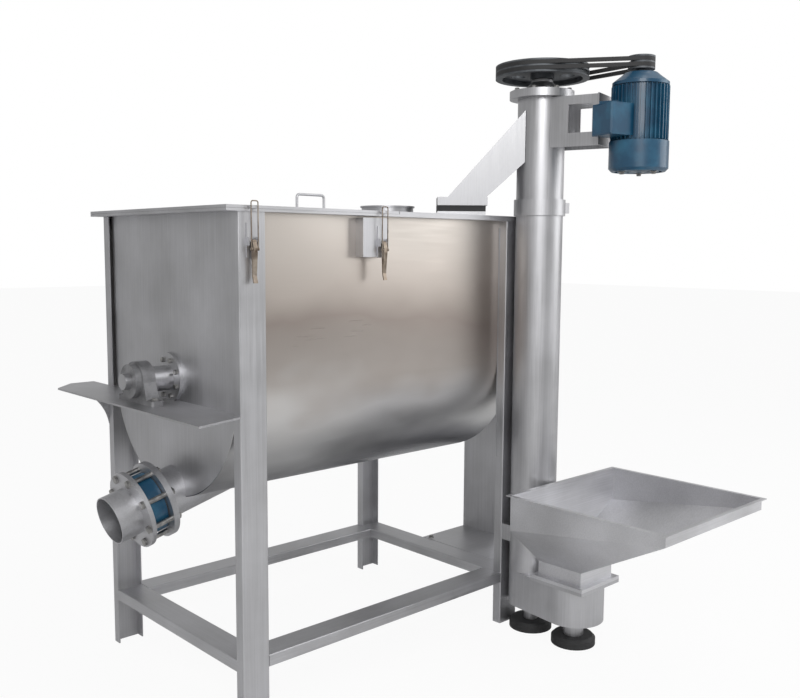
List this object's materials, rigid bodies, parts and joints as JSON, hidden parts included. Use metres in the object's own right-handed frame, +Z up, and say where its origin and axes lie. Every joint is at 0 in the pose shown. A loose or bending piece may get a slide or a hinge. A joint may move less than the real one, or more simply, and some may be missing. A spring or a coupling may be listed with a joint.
{
  "type": "ribbon blender",
  "caption": "Horizontal ribbon blender with a polished trough, a butterfly valve outlet, and a vertical screw feeder with hopper.",
  "frame": {"origin": "middle of the footprint at floor level", "axes": "+X along the agitator shaft from the outlet to the drive end, +Y from the latches to the lid hinges, +Z up"},
  "size_m": [1.9248, 1.756, 2.058],
  "materials": {
    "stainless": "brushed",
    "stainless_polished": "polished",
    "blue_paint": "satin",
    "rubber": "matte",
    "cast_grey": "satin",
    "dark_iron": "satin",
    "bolt_steel": "satin"
  },
  "bodies": {
    "mixer": {"bearing_inserts": "cast_grey", "bearing_shelf_drive": "stainless", "bearing_shelf_outlet": "stainless", "discharge_spout": "stainless", "drive_belts": "rubber", "drive_motor": "blue_paint", "drive_pedestal": "stainless", "drive_platform": "stainless", "end_plate_drive": "stainless", "end_plate_outlet": "stainless", "feed_chute": "stainless", "feed_hopper": "stainless", "feeder_boot": "stainless", "feeder_head": "stainless", "feeder_motor": "blue_paint", "feeder_tube": "stainless", "fixed_lid": "stainless", "flange_bolts": "bolt_steel", "gaskets": "rubber", "hinge_bases": "stainless", "inlet_collar": "stainless", "latch_bases": "stainless", "leg_front_left": "stainless", "leg_front_right": "stainless", "leg_rear_left": "stainless", "leg_rear_right": "stainless", "lid_seal": "rubber", "motor_bracket": "stainless", "motor_fan_cover": "blue_paint", "motor_terminal_box": "blue_paint", "outlet_neck": "stainless", "pillow_blocks": "cast_grey", "rail_front": "stainless", "rail_left": "stainless", "rail_rear": "stainless", "rail_right": "stainless", "rubber_feet": "rubber", "stuffing_boxes": "stainless", "trough_rim": "stainless", "trough_shell": "stainless_polished", "tube_clamps": "stainless", "valve_body": "blue_paint", "worm_reducer": "blue_paint"},
    "agitator": {"main_shaft": "stainless", "outer_ribbon": "stainless", "inner_ribbon": "stainless", "spokes": "stainless", "output_quill": "stainless"},
    "lid": {"opening_lid": "stainless", "lid_handle": "stainless", "lid_hinge_leaves": "stainless"},
    "lever_left": {"latch_lever_left": "stainless"},
    "loop_left": {"latch_loop_left": "stainless"},
    "lever_right": {"latch_lever_right": "stainless"},
    "loop_right": {"latch_loop_right": "stainless"},
    "valve": {"valve_disc": "stainless", "valve_lever": "stainless"},
    "screw": {"feeder_screw": "stainless", "feeder_pulley": "dark_iron"},
    "motor_rotor": {"motor_pulley": "dark_iron"}
  },
  "joints": [
    {"name": "agitator_spin", "type": "hinge", "parent": "mixer", "child": "agitator", "pos_m": [-0.1176, 0.348, 1.003], "axis": [1, 0, 0], "continuous": true},
    {"name": "lid_hinge", "type": "hinge", "parent": "mixer", "child": "lid", "pos_m": [-0.4376, 0.784, 1.53], "axis": [-1, 0, 0], "range_deg": [0, 105]},
    {"name": "lever_left_swing", "type": "hinge", "parent": "mixer", "child": "lever_left", "pos_m": [-0.6936, -0.081, 1.432], "axis": [-1, 0, 0], "range_deg": [0, 150]},
    {"name": "loop_left_swing", "type": "hinge", "parent": "lever_left", "child": "loop_left", "pos_m": [-0.6936, -0.087, 1.41], "axis": [-1, 0, 0], "range_deg": [-150, 0]},
    {"name": "lever_right_swing", "type": "hinge", "parent": "mixer", "child": "lever_right", "pos_m": [-0.2006, -0.081, 1.432], "axis": [-1, 0, 0], "range_deg": [0, 150]},
    {"name": "loop_right_swing", "type": "hinge", "parent": "lever_right", "child": "loop_right", "pos_m": [-0.2006, -0.087, 1.41], "axis": [-1, 0, 0], "range_deg": [-150, 0]},
    {"name": "valve_spin", "type": "hinge", "parent": "mixer", "child": "valve", "pos_m": [-0.82669, 0.348, 0.60806], "axis": [0, 1, 0], "range_deg": [0, 90]},
    {"name": "feeder_screw_spin", "type": "hinge", "parent": "mixer", "child": "screw", "pos_m": [0.4844, -0.158, 1], "axis": [0, 0, 1], "continuous": true},
    {"name": "feeder_motor_spin", "type": "hinge", "parent": "mixer", "child": "motor_rotor", "pos_m": [0.5768, -0.50284, 2.036], "axis": [0, 0, 1], "continuous": true}
  ],
  "couplings": [
    {"joint": "loop_left_swing", "follows": "lever_left_swing", "ratio": -1},
    {"joint": "loop_right_swing", "follows": "lever_right_swing", "ratio": -1},
    {"joint": "feeder_motor_spin", "follows": "feeder_screw_spin", "ratio": 3.963}
  ]
}
